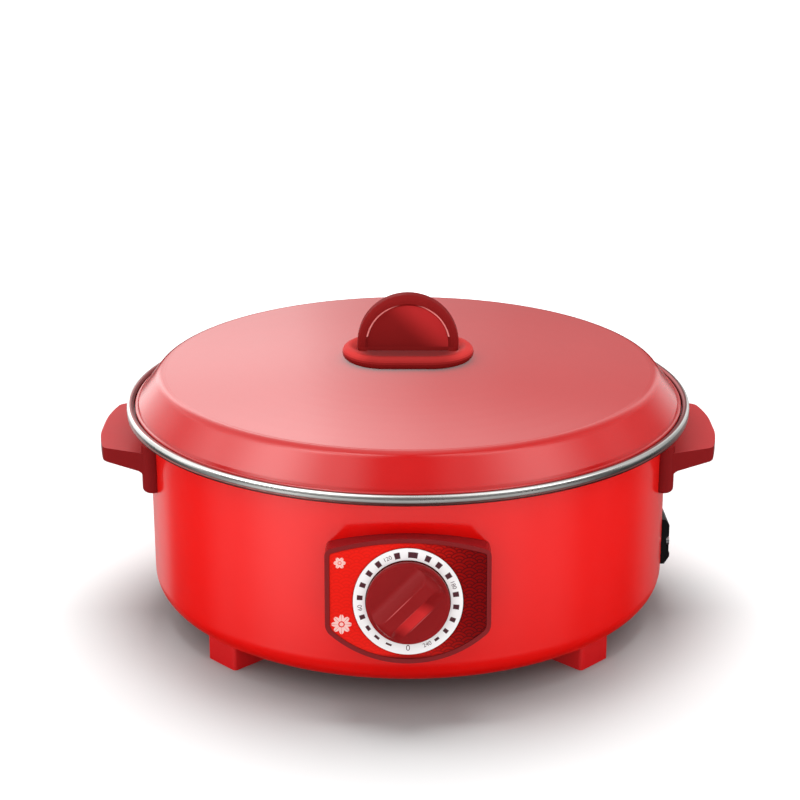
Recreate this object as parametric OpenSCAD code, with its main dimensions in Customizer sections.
// Electric hot pot: a pan in a painted shell, with a lift-off lid, a heat dial and a power inlet.
// The origin is on the pot's axis, in the plane that the feet stand on.
// +Z is up, the control panel faces -Y and the handles are at -X and +X. Sizes are in millimetres.

/* [Pot] */
// Outer radius of the shell wall
shell_r = 154; // [148:1:160]
// How far the rim ring stands out past the shell wall
rim_out = 13; // [12:0.5:14]
// Top edge of the shell's wall, under the pan's flange
shell_top = 124; // [121:0.5:130]
// Radius of the shell's bottom corner
corner_r = 14; // [13:0.5:16]
// Lean of the pan wall from upright, in degrees
pan_lean = 9; // [8:0.5:10]
// Underside of the pan's floor
pan_floor = 46; // [45:0.5:48]

/* [Lid] */
// How far the lid's raised plateau ends inside the rim
plateau_in = 19; // [17:0.5:21]
// Height of the lid from the pan's flange to the plateau's edge
lid_h = 20; // [18:0.5:22]
// Rise of the lid's middle over the plateau's edge
lid_dome = 4.8; // [3:0.2:6]
// Radius of the half-moon grip
grip_r = 30; // [26:0.5:32]

/* [Handles and feet] */
// How far the handles stand out past the rim
handle_out = 16.5; // [14:0.5:20]
// Half the length of a handle's outer edge
handle_half = 40; // [38:0.5:42]
// Drop from the shell's top edge to a handle's top face
handle_drop = 16; // [14:0.5:18]
// Height of the feet under the shell
foot_h = 11.5; // [11:0.5:13]
// Angle of the feet from the front or the back, in degrees
foot_angle = 46; // [42:1:50]

/* [Control panel] */
// Half the width of the panel
panel_half = 44; // [42:0.5:46]
// Backward tilt of the panel, in degrees
panel_tilt = 8; // [6:0.5:9]
// Height of the dial's centre
dial_z = 70.5; // [69.5:0.5:74]
// Outer radius of the dial's scale ring
scale_r = 29.1; // [28:0.1:30]
// Radius of the dial knob
knob_r = 22.3; // [21:0.1:22.5]

/* [Power inlet] */
// Height of the inlet's centre over the shell's bottom
inlet_up = 26; // [25:0.5:28]
// Angle of the inlet behind the right side, in degrees
inlet_angle = 2; // [0:0.5:4]

/* [Hidden] */
$fn = 96;

// Sheets, the rim and the pan's flange
sheet = 1;
pan_t = 2;
rim_r = shell_r + rim_out;
rim_fold = 2.5;
flange_top = shell_top + pan_t;
flange_r = rim_r - rim_fold;
shell_floor = foot_h + sheet;
shell_hole_r = shell_r - 50;
screw_from = shell_r - sheet;

// Pan profile: a bend under the flange, a leaning wall and a rounded floor corner
pan_lip_r = 2.5;
pan_lip_x = shell_r - sheet;
pan_lip_z = shell_top - pan_lip_r;
pan_corner_r = 22;
pan_corner_z = pan_floor + pan_corner_r;
pan_wall_dz = pan_lip_z - pan_corner_z + (pan_lip_r + pan_corner_r) * sin(pan_lean);
pan_corner_x = pan_lip_x - (pan_lip_r + pan_corner_r) * cos(pan_lean) - pan_wall_dz * tan(pan_lean);

// Heater stack under the pan
stud_r = 3;
coil_r = 58;
tube_r = 4;
heater_t = 7;
heater_r = coil_r + 20;
heater_low = pan_floor - heater_t;
coil_gap = 28;
coil_leg_r = 4.4;
coil_leg_top = heater_low + 4.6;
coil_leg_low = foot_h + 12.5;
bush_h = 4;
pin_r = 1.6;
pin_low = foot_h + 3;
pin_x = coil_r * cos(coil_gap);
pin_y = coil_r * sin(coil_gap);
pin_wire_z = foot_h + 6;
shield_z = heater_low - 12;
shield_t = 0.8;
shield_r = heater_r + 18;
nut_h = 5;
stud_end = foot_h - sheet - nut_h;

// Base
base_r = shell_hole_r + 11.5;
base_screw_at = shell_hole_r + 6;
foot_in = base_r + 1.5;
foot_out = shell_r - 6;
foot_w = 24;
foot_screw_at = foot_in + 12;
earth_at = shell_r - 29;
earth_angle = 15;
earth_hole_r = 2.05;
earth_tag_t = 0.8;
slot_in = 48;
slot_out = 78;
slot_w = 4;

// Handles
handle_x = rim_r + handle_out;
handle_top = shell_top - handle_drop;
handle_screw_z = handle_top - 16;
handle_inner = shell_r - 14;
plate_t = 8.5;
plate_slope = 8;
low_r = 7;
low_at = [handle_x - low_r, handle_top - plate_t + low_r];
leg_r = 6;
leg_x = shell_r + 1.5;
leg_past = 4.4;
leg_angle = asin((handle_half + leg_past) / leg_x);
leg_low = handle_top - 25;
leg_high = handle_top + 4;
leg_at = [leg_x * cos(leg_angle), leg_x * sin(leg_angle)];

// Control panel outline: a shallow arc above, a deeper one below and four rounded corners
panel_y = shell_r + 16;
panel_depth = 36;
panel_top = 34.3;
panel_low = -34.2;
top_arc_r = 151;
low_arc_r = 62;
top_corner_r = 4;
low_corner_r = 8;
top_arc_v = panel_top - top_arc_r;
low_arc_v = panel_low + low_arc_r;
top_corner_u = panel_half - top_corner_r;
low_corner_u = panel_half - low_corner_r;
top_a = acos(top_corner_u / (top_arc_r - top_corner_r));
low_a = -acos(low_corner_u / (low_arc_r - low_corner_r));
top_corner_v = top_arc_v + (top_arc_r - top_corner_r) * sin(top_a);
low_corner_v = low_arc_v + (low_arc_r - low_corner_r) * sin(low_a);
frame_w = 2.4;
face_z = -0.3;
face_t = 1.2;
front_wall = -4;
panel_screw_angle = asin((panel_half - 10.9) / screw_from);
panel_screw_z = [dial_z - 18.5, dial_z + 17.5];

// Thermostat, in the panel's own frame
thermo_back = -22;
thermo_front = -10;
thermo_half = 17;
thermo_low = -16;
thermo_high = 12;
bushing_front = -2;
bracket_t = 1.2;
bracket_ear = 21;
tab_w = -17.6;
tab_u = 8;
tab_end = thermo_low - 7;
shaft_r = 3;
shaft_end = 9.9;
run_gap = 0.05;

// Dial knob: heights of its disc and its grip bar, half the bar's top, and the spread of its flanks
knob_disc = 5.2;
knob_top = 14;
bar_half = 3.2;
bar_flank = 5;

// Sensing bulb and thermal fuse
bulb_r = 3;
bulb_y = 19.7 - pan_corner_x;
bulb_z = pan_floor - bulb_r;
fuse_r = 2;
fuse_x = -coil_r - 12;
fuse_z = heater_low - fuse_r;
fuse_half = 7;
low_wire_z = foot_h + 9.5;
wire_r = 1.3;
run_over = 0.6;

// Inlet, in a frame whose X axis points out through the inlet
inlet_z = foot_h + inlet_up;
inlet_face = shell_r + 4.2;
inlet_half = 20;
socket_half = 11;
socket_in = shell_r - 12;
inlet_back = socket_in - 2;
inlet_lip = inlet_face + 0.7;
inlet_bevel = inlet_face - 3;
inlet_screw_y = inlet_half - 3.5;
blade_end = socket_in - 14;

// Lid
lid_foot = flange_top + 0.05;
lid_top = flange_top + lid_h + lid_dome;
lid_edge_r = 8;
lid_slope = 53;
lid_hole_r = 2.7;
plateau_r = rim_r - plateau_in;
dome_r = (plateau_r * plateau_r + lid_dome * lid_dome) / (2 * lid_dome);
edge_x = plateau_r - 4.5;
edge_z = flange_top + lid_h - lid_edge_r + 0.2;
edge_a = acos(edge_x / dome_r);
lip_r = 1.35;
lip_x = rim_r - 6.1;
lip_z = lid_foot + lip_r;
knob_base = lid_top + 0.05;
knob_foot_h = 8;
knob_foot_r = 26;
knob_foot_half = 39;

// Points on an arc from angle a0 to angle a1, both ends included
function arc(cx, cy, r, a0, a1, n = 8) =
    [for (i = [0:n]) [cx + r * cos(a0 + (a1 - a0) * i / n), cy + r * sin(a0 + (a1 - a0) * i / n)]];

function reversed(points) = [for (i = [len(points) - 1:-1:0]) points[i]];

// Screw along +Z from its head's underside at z = 0, with the head below
module screw(r, length, head_r, head_h) {
    translate([0, 0, -head_h / 2]) cylinder(r = r, h = length + head_h / 2);
    translate([0, 0, -head_h]) cylinder(r = head_r, h = head_h);
}

// Hexagon nut of a given width across flats, from z = 0 up
module nut(across, h, bore_r) {
    difference() {
        linear_extrude(h) circle(r = across / sqrt(3), $fn = 6);
        translate([0, 0, -1]) cylinder(r = bore_r, h = h + 2);
    }
}

// Turns +Z outwards from the pot's axis, at an angle from +X and a height
module radially(angle, from_r, z) {
    rotate([0, 0, angle]) translate([from_r, 0, z]) rotate([0, 90, 0]) children();
}

// Ten-sided bar through a list of points; the straight lengths run on a little past each bend
module run(points, r) {
    last = len(points) - 2;
    for (i = [0:last]) {
        d = points[i + 1] - points[i];
        flat = norm([d[0], d[1]]);
        before = i > 0 ? run_over * r : 0;
        after = i < last ? run_over * r : 0;
        translate(points[i])
            rotate([0, atan2(flat, d[2]), atan2(d[1], d[0])])
                translate([0, 0, -before]) cylinder(r = r, h = norm(d) + before + after, $fn = 10);
    }
}

// Sheet strap that holds a round bar, lying along Y, up against a flat face at z = 0
module strap(r, width) {
    t = 0.6;
    wing = 5;
    inner = r + run_gap;
    outer = inner + t;
    rotate([90, 0, 0]) linear_extrude(width, center = true) {
        difference() {
            union() {
                translate([0, -r]) circle(r = outer);
                translate([-outer, -r]) square([2 * outer, r]);
            }
            translate([0, -r]) circle(r = inner);
            translate([-inner, -r]) square([2 * inner, r + 1]);
        }
        for (s = [-1, 1])
            translate([s * (outer + wing / 2 - 0.1) - wing / 2, -t]) square([wing, t]);
    }
}

// Everything inside the shell's outer surface, for parts that fit against it
module shell_outside() {
    rotate_extrude()
        polygon(concat(
            [[0, foot_h]],
            arc(shell_r - corner_r, foot_h + corner_r, corner_r, -90, 0, 16),
            [[shell_r, shell_top], [0, shell_top]]));
}

module shell_profile() {
    corner_x = shell_r - corner_r;
    corner_z = foot_h + corner_r;
    polygon(concat(
        [[shell_hole_r, foot_h]],
        arc(corner_x, corner_z, corner_r, -90, 0, 16),
        [[shell_r, shell_top], [shell_r - sheet, shell_top]],
        arc(corner_x, corner_z, corner_r - sheet, 0, -90, 16),
        [[shell_hole_r, shell_floor]]));
}

// Painted outer shell with its openings for screws, thermostat and inlet
module shell() {
    color("red") difference() {
        rotate_extrude() shell_profile();
        at_handle_legs() cylinder(r = 2.1, h = 20, center = true);
        at_panel_screws() cylinder(r = 1.7, h = 20, center = true);
        at_panel() translate([-thermo_half - 3, thermo_low - 12, thermo_back - 12])
            cube([2 * thermo_half + 6, thermo_high - thermo_low + 16, 26]);
        at_inlet() {
            translate([socket_in, -14, -10.5]) cube([20, 28, 21]);
            at_inlet_screws(inlet_back) cylinder(r = 1.7, h = 20);
        }
        at_feet() translate([foot_screw_at, 0, 0]) cylinder(r = 2.1, h = 20);
        at_base_screws() cylinder(r = 1.85, h = 20);
        at_earth() cylinder(r = earth_hole_r, h = 20);
    }
}

// Rolled trim, crimped round the pan's flange
module rim_ring() {
    t = 0.9;
    bead_r = 2.2;
    bead_in = rim_r - 2 * bead_r;
    bead_z = flange_top + 0.8;
    low = shell_top - t;
    color("silver") rotate_extrude()
        polygon(concat(
            [[bead_in, flange_top]],
            arc(rim_r - bead_r, bead_z, bead_r, 180, 0, 12),
            [[rim_r, shell_top + 1.6], [rim_r - 0.7, shell_top + 1.2], [rim_r - 0.7, shell_top + 0.8]],
            arc(rim_r - 0.9, low + 0.8, 0.8, 60, -90, 6),
            [[rim_r - 9, low], [rim_r - 9, low + t], [rim_r - 1.8, low + t], [rim_r - 1.8, shell_top + 0.9]],
            [[rim_r - t, shell_top + 1.6]],
            arc(rim_r - bead_r, bead_z, bead_r - t, 0, 180, 12),
            [[bead_in + t, flange_top]]));
}

function pan_side(inset) = concat(
    arc(pan_lip_x, pan_lip_z, pan_lip_r + inset, 90, 180 - pan_lean, 6),
    arc(pan_corner_x, pan_corner_z, pan_corner_r - inset, -pan_lean, -90, 16));

// Inner pan: flange, leaning wall and flat floor
module pan() {
    color("dimgray") rotate_extrude()
        polygon(concat(
            [[flange_r, shell_top]],
            pan_side(0),
            [[0, pan_floor], [0, pan_floor + pan_t]],
            reversed(pan_side(pan_t)),
            [[flange_r, flange_top]]));
}

// Places children at the four handle legs, pointing outwards
module at_handle_legs() {
    for (side = [0, 180], s = [-1, 1])
        radially(side + s * leg_angle, screw_from, handle_screw_z) children();
}

// Half the plan of a handle's plate: an arc outside, a round corner, and an end that runs into the leg
function half_plan() =
    let (out_r = 140)
    let (mid_r = out_r - leg_r)
    let (corner_y = handle_half - leg_r)
    let (corner_x = handle_x - out_r + sqrt(mid_r * mid_r - corner_y * corner_y))
    let (out_a = asin(corner_y / mid_r))
    let (end_a = 90 - atan2(leg_at[1] - corner_y, corner_x - leg_at[0]))
    concat(
        arc(handle_x - out_r, 0, out_r, 0, out_a, 6),
        arc(corner_x, corner_y, leg_r, out_a, end_a, 6),
        arc(leg_at[0], leg_at[1], leg_r - 0.4, end_a, 180, 6),
        [[handle_inner, leg_at[1]]]);

module handle_plan() {
    polygon(concat(half_plan(), reversed([for (p = half_plan()) if (p[1] > 0) [p[0], -p[1]]])));
}

// Height of the plate's sloped underside at a distance from the pot's axis
function plate_under(x) =
    low_at[1] - low_r / cos(plate_slope) + (x - low_at[0]) * tan(plate_slope);

// Side outline of a handle's plate in X and Z: a crisp edge above, well rounded below
module handle_side() {
    top_r = 1.4;
    polygon(concat(
        [[handle_inner, plate_under(handle_inner)]],
        arc(low_at[0], low_at[1], low_r, plate_slope - 90, 0, 12),
        arc(handle_x - top_r, handle_top - top_r, top_r, 0, 90, 4),
        [[handle_inner, handle_top]]));
}

// One leg, a round bar with a rounded lower end that goes up under the rim
module handle_leg() {
    end_r = 3;
    rotate_extrude()
        polygon(concat(
            [[0, leg_low]],
            arc(leg_r - end_r, leg_low + end_r, end_r, -90, 0, 6),
            [[leg_r, leg_high], [0, leg_high]]));
}

// Hollow round between a leg and the plate's underside
module leg_fillet() {
    fillet = 4;
    from_r = leg_r - 0.15;
    z = plate_under(leg_at[0] + from_r + fillet);
    rotate_extrude()
        polygon(concat(
            [[0, z - fillet]],
            arc(from_r + fillet, z - fillet, fillet, 180, 90, 8),
            [[from_r + fillet, z + 3], [0, z + 3]]));
}

module at_one_handles_legs() {
    for (s = [-1, 1])
        translate([leg_at[0], s * leg_at[1], 0]) children();
}

// One moulded handle on the +X side: a plate shaped to the shell, and two legs
module handle() {
    color("firebrick") difference() {
        union() {
            intersection() {
                linear_extrude(handle_top + 1) handle_plan();
                translate([0, handle_x, 0]) rotate([90, 0, 0]) linear_extrude(2 * handle_x) handle_side();
            }
            intersection() {
                linear_extrude(handle_top - 1) handle_plan();
                at_one_handles_legs() leg_fillet();
            }
            at_one_handles_legs() handle_leg();
        }
        shell_outside();
        for (s = [-1, 1])
            radially(s * leg_angle, screw_from, handle_screw_z) cylinder(r = 2.03, h = 7.5);
    }
}

module handle_left() { mirror([1, 0, 0]) handle(); }
module handle_right() { handle(); }

// Screws from inside the shell into the handles' legs
module handle_screws() {
    color("silver") at_handle_legs() translate([0, 0, -0.1]) screw(2, 7, 3.5, 2.4);
}

// Puts children, drawn outwards along +X, at the four feet
module at_feet() {
    for (a = [foot_angle - 90, 90 - foot_angle, 90 + foot_angle, -90 - foot_angle])
        rotate([0, 0, a]) children();
}

// One moulded foot, drawn along +X: a block shaped to the shell, with a screw recess
module foot() {
    edge = 2;
    color("firebrick") difference() {
        linear_extrude(foot_h + corner_r) {
            translate([foot_in, -foot_w / 2]) square([foot_out - foot_in - edge, foot_w]);
            translate([foot_in, edge - foot_w / 2]) square([foot_out - foot_in, foot_w - 2 * edge]);
            for (s = [-1, 1])
                translate([foot_out - edge, s * (foot_w / 2 - edge)]) circle(r = edge, $fn = 24);
        }
        shell_outside();
        translate([foot_screw_at, 0, -1]) cylinder(r = 4.5, h = 8);
        translate([foot_screw_at, 0, 0]) cylinder(r = 2.1, h = 30);
    }
}

module foot_front_left() { rotate([0, 0, -90 - foot_angle]) foot(); }
module foot_front_right() { rotate([0, 0, foot_angle - 90]) foot(); }
module foot_back_left() { rotate([0, 0, 90 + foot_angle]) foot(); }
module foot_back_right() { rotate([0, 0, 90 - foot_angle]) foot(); }

module foot_screws() {
    color("silver") at_feet() translate([foot_screw_at, 0, 7]) screw(2, 11, 3.8, 2.6);
}

module foot_nuts() {
    color("silver") at_feet() translate([foot_screw_at, 0, shell_floor]) nut(7, 3.2, 2.02);
}

module at_base_screws() {
    for (a = [0:120:240])
        rotate([0, 0, a]) translate([base_screw_at, 0, 0]) children();
}

// Base plate with cooling slots, under the shell's bottom
module base_plate() {
    color("silver") difference() {
        translate([0, 0, foot_h - sheet]) cylinder(r = base_r, h = sheet);
        cylinder(r = stud_r + 0.2, h = foot_h + 1);
        at_base_screws() cylinder(r = 1.85, h = 20);
        for (a = [0:30:330])
            rotate([0, 0, a + 15])
                translate([slot_in, -slot_w / 2, 0]) cube([slot_out - slot_in, slot_w, foot_h + 1]);
    }
}

module base_screws() {
    color("silver") at_base_screws() translate([0, 0, foot_h - sheet]) screw(1.8, 8, 3.4, 2.2);
}

// Places children at the two ends of the heater tube's ring
module at_coil_ends() {
    for (a = [-coil_gap, coil_gap])
        rotate([0, 0, a]) translate([coil_r, 0, 0]) children();
}

// Cast disc pressed to the pan's floor, with a groove for the heater tube
module heater_plate() {
    color("silver") difference() {
        translate([0, 0, heater_low]) cylinder(r = heater_r, h = heater_t);
        translate([0, 0, heater_low - 1]) cylinder(r = stud_r + 0.3, h = heater_t + 2);
        translate([0, 0, heater_low]) rotate_extrude() translate([coil_r, 0]) circle(r = tube_r + 0.1);
        at_coil_ends() translate([0, 0, heater_low - 1]) cylinder(r = coil_leg_r + 0.2, h = 6);
    }
}

// Sheathed heater tube: nearly a full ring, with an upright leg at each end
module heater_tube() {
    color("dimgray") {
        translate([0, 0, heater_low]) rotate([0, 0, coil_gap])
            rotate_extrude(angle = 360 - 2 * coil_gap) translate([coil_r, 0]) circle(r = tube_r);
        at_coil_ends()
            translate([0, 0, coil_leg_low]) cylinder(r = coil_leg_r, h = coil_leg_top - coil_leg_low);
    }
}

module heater_bushes() {
    color("white") at_coil_ends() difference() {
        translate([0, 0, coil_leg_low - bush_h]) cylinder(r = tube_r, h = bush_h);
        translate([0, 0, coil_leg_low - bush_h - 1]) cylinder(r = pin_r + run_gap, h = bush_h + 2);
    }
}

module heater_pins() {
    color("silver") at_coil_ends()
        translate([0, 0, pin_low]) cylinder(r = pin_r, h = coil_leg_low - pin_low);
}

module centre_stud() {
    color("silver") translate([0, 0, stud_end]) cylinder(r = stud_r, h = pan_floor - stud_end);
}

// Nuts on the centre stud: under the heater plate, on both sides of the shield, under the base plate
module centre_nuts() {
    stack = [heater_low - nut_h, shield_z + shield_t, shield_z - nut_h, foot_h - sheet - nut_h];
    color("silver") for (z = stack)
        translate([0, 0, z]) nut(10, nut_h, stud_r + 0.02);
}

// Dished sheet that throws the heat back up
module heat_shield() {
    rim = 6;
    color("silver") difference() {
        rotate_extrude()
            polygon([
                [stud_r + 0.3, shield_z],
                [shield_r - rim, shield_z],
                [shield_r, shield_z + rim],
                [shield_r - 1.1, shield_z + rim],
                [shield_r - rim - 0.4, shield_z + shield_t],
                [stud_r + 0.3, shield_z + shield_t]]);
        at_coil_ends() cylinder(r = tube_r + 2, h = shield_z + 5);
    }
}

// The panel's own frame: X to the right, Y up the panel's face, Z out of it, zero at the dial's centre
module at_panel() {
    translate([0, -panel_y, dial_z]) rotate([90 - panel_tilt, 0, 0]) children();
}

// A point of the panel's own frame, in the pot's frame
function panel_point(u, v, w) = [
    u,
    v * sin(panel_tilt) - w * cos(panel_tilt) - panel_y,
    v * cos(panel_tilt) + w * sin(panel_tilt) + dial_z];

// Outline of the panel, moved inwards by an inset
function panel_outline(inset) = concat(
    arc(low_corner_u, low_corner_v, low_corner_r - inset, 0, low_a, 6),
    arc(0, low_arc_v, low_arc_r - inset, low_a, -180 - low_a, 24),
    arc(-low_corner_u, low_corner_v, low_corner_r - inset, -180 - low_a, -180, 6),
    arc(-top_corner_u, top_corner_v, top_corner_r - inset, 180, 180 - top_a, 5),
    arc(0, top_arc_v, top_arc_r - inset, 180 - top_a, top_a, 16),
    arc(top_corner_u, top_corner_v, top_corner_r - inset, top_a, 0, 5));

module at_panel_screws() {
    for (s = [-1, 1], z = panel_screw_z)
        radially(-90 + s * panel_screw_angle, screw_from, z) children();
}

// Moulded housing: raised frame, front wall with bushing hole, bosses for its own and the bracket's screws
module panel_housing() {
    color("maroon") difference() {
        union() {
            difference() {
                at_panel() translate([0, 0, -panel_depth])
                    linear_extrude(panel_depth) polygon(panel_outline(0));
                at_panel() translate([0, 0, -panel_depth - 4])
                    linear_extrude(panel_depth + 4 + front_wall) polygon(panel_outline(frame_w));
            }
            intersection() {
                at_panel() translate([0, 0, -panel_depth])
                    linear_extrude(panel_depth - 2) polygon(panel_outline(0));
                at_panel_screws() cylinder(r = 4, h = 18);
            }
            at_panel() for (s = [-1, 1])
                translate([s * bracket_ear, 0, thermo_front + bracket_t])
                    cylinder(r = 4, h = front_wall - thermo_front);
        }
        shell_outside();
        at_panel() {
            translate([0, 0, face_z - face_t]) linear_extrude(5) polygon(panel_outline(frame_w));
            translate([0, 0, -8]) cylinder(r = 5, h = 10);
            for (s = [-1, 1])
                translate([s * bracket_ear, 0, thermo_front]) cylinder(r = 1.53, h = 7);
        }
        at_panel_screws() cylinder(r = 1.53, h = 9);
    }
}

// Printed face plate, let into the housing's frame
module panel_face() {
    color("red") at_panel() difference() {
        translate([0, 0, face_z - face_t]) linear_extrude(face_t) polygon(panel_outline(frame_w));
        translate([0, 0, -5]) cylinder(r = shaft_r + 1, h = 10);
    }
}

// Light ring that carries the heat marks, round the knob
module scale_ring() {
    t = 0.5;
    color("white") at_panel() translate([0, 0, face_z]) difference() {
        cylinder(r = scale_r, h = t);
        translate([0, 0, -1]) cylinder(r = knob_r + 0.4, h = t + 2);
    }
}

module panel_screws() {
    color("silver") at_panel_screws() translate([0, 0, -0.1]) screw(1.5, 8.5, 2.8, 2);
}

// Thermostat case with its threaded bushing, in which the shaft turns
module thermostat_body() {
    color("dimgray") at_panel() difference() {
        union() {
            translate([-thermo_half, thermo_low, thermo_back])
                cube([2 * thermo_half, thermo_high - thermo_low, thermo_front - thermo_back]);
            translate([0, 0, thermo_back]) cylinder(r = 4.8, h = bushing_front - thermo_back);
        }
        translate([0, 0, thermo_back + 2]) cylinder(r = shaft_r + run_gap, h = 40);
    }
}

module thermostat_bracket() {
    color("silver") at_panel() translate([0, 0, thermo_front]) difference() {
        translate([-26, -7, 0]) cube([52, 14, bracket_t]);
        translate([0, 0, -1]) cylinder(r = 4.9, h = 4);
        for (s = [-1, 1])
            translate([s * bracket_ear, 0, -1]) cylinder(r = 1.7, h = 4);
    }
}

module thermostat_screws() {
    color("silver") at_panel() for (s = [-1, 1])
        translate([s * bracket_ear, 0, thermo_front]) screw(1.5, 5.5, 2.8, 2);
}

// Two flat blades under the thermostat's case
module thermostat_terminals() {
    color("silver") at_panel() for (s = [-1, 1])
        translate([s * tab_u - 3, tab_end, tab_w - 0.4]) cube([6, thermo_low - tab_end, 0.8]);
}

// Turning shaft with a flat at its outer end
module thermostat_shaft() {
    color("silver") at_panel() difference() {
        translate([0, 0, thermo_back + 2.2]) cylinder(r = shaft_r, h = shaft_end - thermo_back - 2.2);
        translate([-shaft_r, 2, 0.8]) cube([2 * shaft_r, 2, 12]);
    }
}

// Height of the knob's grip bar over its disc at a distance from the bar's middle line
function bar_line(s) =
    knob_disc + (knob_top - knob_disc) * exp(-pow((s - bar_half) / bar_flank, 2));

// Knob: a low disc, hollow behind, with a grip bar across it whose flanks run out into the disc
module dial_knob() {
    under = 0.3;
    steps = 6;
    reach = bar_half + 2 * bar_flank;
    flank = [for (i = [0:steps]) reach + (bar_half - reach) * i / steps];
    end_r = knob_top - knob_disc - 2.2;
    color("firebrick") at_panel() rotate([0, 0, -45]) difference() {
        union() {
            rotate_extrude()
                polygon(concat(
                    [[0, 4], [knob_r - 2, 4], [knob_r - 2, under], [knob_r, under], [knob_r, 1.2]],
                    arc(knob_r - 2.6, 4.4, 1.4, 20, 90, 5),
                    [[0, knob_disc]]));
            translate([0, 0, under]) cylinder(r = 6.3, h = 5);
            intersection() {
                rotate([90, 0, 0]) linear_extrude(2 * knob_r, center = true)
                    polygon(concat(
                        [[reach, knob_disc - 0.4]],
                        [for (s = flank) [s, bar_line(s)]],
                        reversed([for (s = flank) [-s, bar_line(s)]]),
                        [[-reach, knob_disc - 0.4]]));
                rotate_extrude()
                    polygon(concat(
                        [[0, 0], [knob_r - 2.2, knob_disc - 0.2]],
                        arc(knob_r - 2.2 - end_r, knob_top - end_r, end_r, 0, 90, 8),
                        [[0, knob_top]]));
            }
        }
        difference() {
            translate([0, 0, -1]) cylinder(r = shaft_r + 0.03, h = shaft_end + 1.3);
            rotate([0, 0, 45]) translate([-shaft_r - 1, 2.03, 0.8]) cube([2 * shaft_r + 2, 2, 12]);
        }
    }
}

// Split spring sleeve that tightens the knob's hub on the shaft
module knob_sleeve() {
    color("silver") at_panel() translate([0, 0, 0.6]) difference() {
        cylinder(r = 6.9, h = 2.8);
        translate([0, 0, -1]) cylinder(r = 6.33, h = 5);
        translate([-1, 0, -1]) cube([2, 10, 5]);
    }
}

// Sensing bulb under the pan and the fine tube from it to the thermostat
module capillary() {
    bulb_half = 30;
    color("peru") {
        translate([-bulb_half, bulb_y, bulb_z]) rotate([0, 90, 0]) cylinder(r = bulb_r, h = 2 * bulb_half);
        run([
            [-bulb_half, bulb_y, bulb_z],
            [-bulb_half - 6, bulb_y, bulb_z],
            [-bulb_half - 8, bulb_y - 6, bulb_z - 7],
            [-13, 10 - shell_r, bulb_z - 7],
            panel_point(-13, thermo_low - 6, -16),
            panel_point(-13, thermo_low - run_gap, -16)], 1);
    }
}

module bulb_clips() {
    color("silver") for (x = [-18, 18])
        translate([x, bulb_y, pan_floor]) rotate([0, 0, 90]) strap(bulb_r, 8);
}

// The inlet's own frame: X outwards through the socket, Z up, zero height at the socket's centre
module at_inlet() {
    rotate([0, 0, inlet_angle]) translate([0, 0, inlet_z]) children();
}

// Places children at the inlet's two screws, pointing outwards, at a distance from the pot's axis
module at_inlet_screws(from_x) {
    for (s = [-1, 1])
        translate([from_x, s * inlet_screw_y, 0]) rotate([0, 90, 0]) children();
}

// A point of the inlet's own frame, in the pot's frame
function inlet_point(x, y, z) = [
    x * cos(inlet_angle) - y * sin(inlet_angle),
    x * sin(inlet_angle) + y * cos(inlet_angle),
    z + inlet_z];

// Black moulding: outer flange with bevelled edges, and the socket's box inside the shell
module inlet_housing() {
    color("black") difference() {
        union() {
            difference() {
                at_inlet() intersection() {
                    translate([0, inlet_half, 0]) rotate([90, 0, 0]) linear_extrude(2 * inlet_half)
                        polygon([
                            [inlet_back, -14], [inlet_bevel, -14], [inlet_lip, -11], [inlet_lip, -8.4],
                            [inlet_face, -8], [inlet_face, 10], [inlet_bevel, 15], [inlet_back, 15]]);
                    translate([0, 0, -inlet_half]) linear_extrude(2 * inlet_half)
                        polygon([
                            [inlet_back, -inlet_half], [inlet_bevel, -inlet_half],
                            [inlet_lip, 4 - inlet_half], [inlet_lip, inlet_half - 4],
                            [inlet_bevel, inlet_half], [inlet_back, inlet_half]]);
                }
                shell_outside();
            }
            at_inlet() translate([socket_in - 8, -13.5, -10]) cube([inlet_face - socket_in + 6, 27, 20]);
        }
        at_inlet() {
            translate([socket_in, -socket_half, -7.5]) cube([40, 2 * socket_half, 15]);
            inlet_blades();
            at_inlet_screws(inlet_back) cylinder(r = 1.53, h = 30);
            at_inlet_screws(inlet_face - 2) cylinder(r = 3, h = 30);
        }
    }
}

// Three flat blades: two side by side below, and the earth blade above
module inlet_blades() {
    for (at = [[-7, -4], [7, -4], [0, 2]])
        translate([blade_end, at[0] - 1, at[1]]) cube([25, 2, 4]);
}

module inlet_pins() {
    color("gold") at_inlet() inlet_blades();
}

module inlet_screws() {
    color("silver") at_inlet() at_inlet_screws(inlet_face - 2) rotate([0, 180, 0]) screw(1.5, 9, 2.8, 1.8);
}

module inlet_nuts() {
    color("silver") at_inlet() at_inlet_screws(shell_r - 4.8) nut(5.5, 2.4, 1.52);
}

module at_earth() {
    rotate([0, 0, earth_angle]) translate([earth_at, 0, 0]) children();
}

// Earthing screw through the shell's bottom
module earth_screw() {
    color("gold") at_earth() translate([0, 0, shell_floor + earth_tag_t])
        mirror([0, 0, 1]) screw(2, 5, 3.8, 2.6);
}

// Thermal fuse strapped under the heater plate
module thermal_fuse() {
    color("white") translate([fuse_x, 0, fuse_z]) rotate([90, 0, 0])
        cylinder(r = fuse_r, h = 2 * fuse_half, center = true);
}

module fuse_clip() {
    color("silver") translate([fuse_x, 0, heater_low]) strap(fuse_r, 6);
}

// Wire from the live blade to the thermostat
module wire_live() {
    color("brown") run([
        inlet_point(blade_end, -7, -2), inlet_point(blade_end - 6, -7, -2),
        inlet_point(blade_end - 6, -12, -20.5), [9, 14 - shell_r, foot_h + 5.5],
        panel_point(tab_u, tab_end - 3, -25), panel_point(tab_u, tab_end - 3, tab_w),
        panel_point(tab_u, tab_end, tab_w)], wire_r);
}

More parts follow.
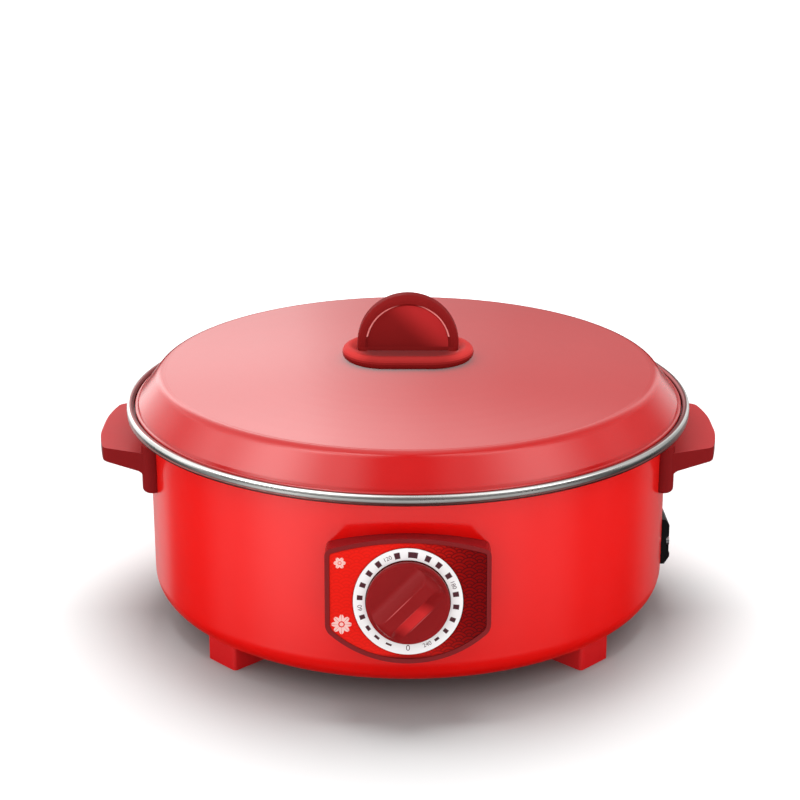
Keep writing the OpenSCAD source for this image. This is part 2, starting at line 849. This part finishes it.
// Wire from the thermostat to the thermal fuse
module wire_switched() {
    color("brown") run([
        panel_point(-tab_u, tab_end, tab_w), panel_point(-tab_u, tab_end - 3, tab_w),
        panel_point(-tab_u, tab_end - 3, -25), [-12, 16 - shell_r, low_wire_z],
        [fuse_x - 30, -30, low_wire_z], [fuse_x - 30, -14, fuse_z],
        [fuse_x, -14, fuse_z], [fuse_x, -fuse_half, fuse_z]], wire_r);
}

// Wire from the fuse to one end of the heater
module wire_fused() {
    color("brown") run([
        [fuse_x, fuse_half, fuse_z], [fuse_x, 16, fuse_z], [fuse_x - 30, 20, fuse_z],
        [fuse_x - 30, 30, pin_wire_z + 0.5], [40, 62, pin_wire_z + 0.5],
        [pin_x, 40, pin_wire_z], [pin_x, pin_y + pin_r + 0.02, pin_wire_z]], wire_r);
}

// Wire from the other end of the heater to the neutral blade
module wire_neutral() {
    color("blue") run([
        inlet_point(blade_end, 7, -2), inlet_point(blade_end - 8, 7, -2), inlet_point(blade_end - 8, 2, -15),
        [74, -40, low_wire_z], [pin_x, -36, pin_wire_z], [pin_x, -pin_y - pin_r - 0.02, pin_wire_z]], wire_r);
}

// Earth wire, with its ring tag under the earthing screw
module wire_earth() {
    tag = [earth_at * cos(earth_angle), earth_at * sin(earth_angle), shell_floor];
    color("green") difference() {
        union() {
            run([
                inlet_point(blade_end, 0, 4), inlet_point(blade_end - 9, 0, 4),
                inlet_point(blade_end - 13, 14, 4), inlet_point(blade_end - 13, 16, -10),
                tag + [-4.3, -4, 6], tag + [-4.3, 0, 0.5]], 1);
            at_earth() translate([0, 0, shell_floor]) cylinder(r = 5, h = earth_tag_t);
        }
        at_earth() cylinder(r = earth_hole_r, h = 20);
        at_earth() translate([0, 0, shell_floor + earth_tag_t]) cylinder(r = 3.85, h = 3);
        translate([0, 0, shell_floor - 5]) cylinder(r = shell_r, h = 5);
    }
}

// Outer line of the lid from its middle to the foot of its slope, moved inwards by an inset
function lid_line(inset) = concat(
    [for (i = [0:12])
        let (x = lid_hole_r + (edge_x - lid_hole_r) * i / 12)
        [x, lid_top - dome_r + sqrt(dome_r * dome_r - x * x) - inset]],
    arc(edge_x, edge_z, lid_edge_r - inset, edge_a, 90 - lid_slope, 8),
    [[lip_x - 1 - inset * sin(lid_slope), lip_z + 2.7 - inset * cos(lid_slope)]]);

// Pressed lid with a rolled lip that stands on the pan's flange
module lid_sheet() {
    color("red") rotate_extrude()
        polygon(concat(
            lid_line(0),
            arc(lip_x, lip_z, lip_r, 100, -150, 12),
            reversed(lid_line(sheet))));
}

// Half section of the grip's foot: flat below, round outside, dished towards the grip
module knob_foot_profile() {
    round_r = knob_foot_h / 2;
    polygon(concat(
        [[0, 0]],
        arc(knob_foot_r - round_r, round_r, round_r, -90, 120, 12),
        [[knob_foot_r - 9, knob_foot_h - 2.2], [0, knob_foot_h - 2.2]]));
}

// Half-moon grip on an oval foot, one moulding
module lid_knob() {
    flat = knob_foot_half - knob_foot_r;
    rise = 9.6;
    band = 4.7;
    half_t = 6;
    color("firebrick") difference() {
        translate([0, 0, knob_base]) {
            for (s = [0, 1])
                rotate([0, 0, 180 * s]) translate([flat, 0, 0]) rotate([0, 0, -90])
                    rotate_extrude(angle = 180) knob_foot_profile();
            rotate([90, 0, 90]) linear_extrude(2 * flat, center = true) {
                knob_foot_profile();
                mirror([1, 0]) knob_foot_profile();
            }
            intersection() {
                translate([0, 0, rise]) rotate([90, 0, 0]) rotate_extrude()
                    polygon(concat(
                        [[0, -half_t + 1.5], [grip_r - band - 1.5, -half_t + 1.5], [grip_r - band, -half_t]],
                        arc(grip_r - 3.5, -half_t + 3.5, 3.5, -90, 0, 6),
                        arc(grip_r - 3.5, half_t - 3.5, 3.5, 0, 90, 6),
                        [[grip_r - band, half_t], [grip_r - band - 1.5, half_t - 1.5], [0, half_t - 1.5]]));
                translate([-50, -50, 4]) cube([100, 100, 100]);
            }
        }
        translate([0, 0, knob_base - 1]) cylinder(r = 4.02, h = 17);
    }
}

// Threaded metal bush moulded into the grip
module knob_insert() {
    color("gold") translate([0, 0, knob_base]) difference() {
        cylinder(r = 4, h = 15.9);
        translate([0, 0, -1]) cylinder(r = 2.52, h = 15);
    }
}

module lid_screw() {
    color("silver") translate([0, 0, lid_top - sheet - 0.9]) screw(2.5, 14.5, 4.6, 3);
}

module lid_washer() {
    color("silver") translate([0, 0, lid_top - sheet - 0.9]) difference() {
        cylinder(r = 8, h = 0.8);
        translate([0, 0, -1]) cylinder(r = 2.6, h = 3);
    }
}

shell();
rim_ring();
pan();
handle_left();
handle_right();
handle_screws();
foot_front_left();
foot_front_right();
foot_back_left();
foot_back_right();
foot_screws();
foot_nuts();
base_plate();
base_screws();
heater_plate();
heater_tube();
heater_bushes();
heater_pins();
centre_stud();
centre_nuts();
heat_shield();
panel_housing();
panel_face();
scale_ring();
panel_screws();
thermostat_body();
thermostat_bracket();
thermostat_screws();
thermostat_terminals();
thermostat_shaft();
dial_knob();
knob_sleeve();
capillary();
bulb_clips();
inlet_housing();
inlet_pins();
inlet_screws();
inlet_nuts();
earth_screw();
thermal_fuse();
fuse_clip();
wire_live();
wire_switched();
wire_fused();
wire_neutral();
wire_earth();
lid_sheet();
lid_knob();
knob_insert();
lid_screw();
lid_washer();
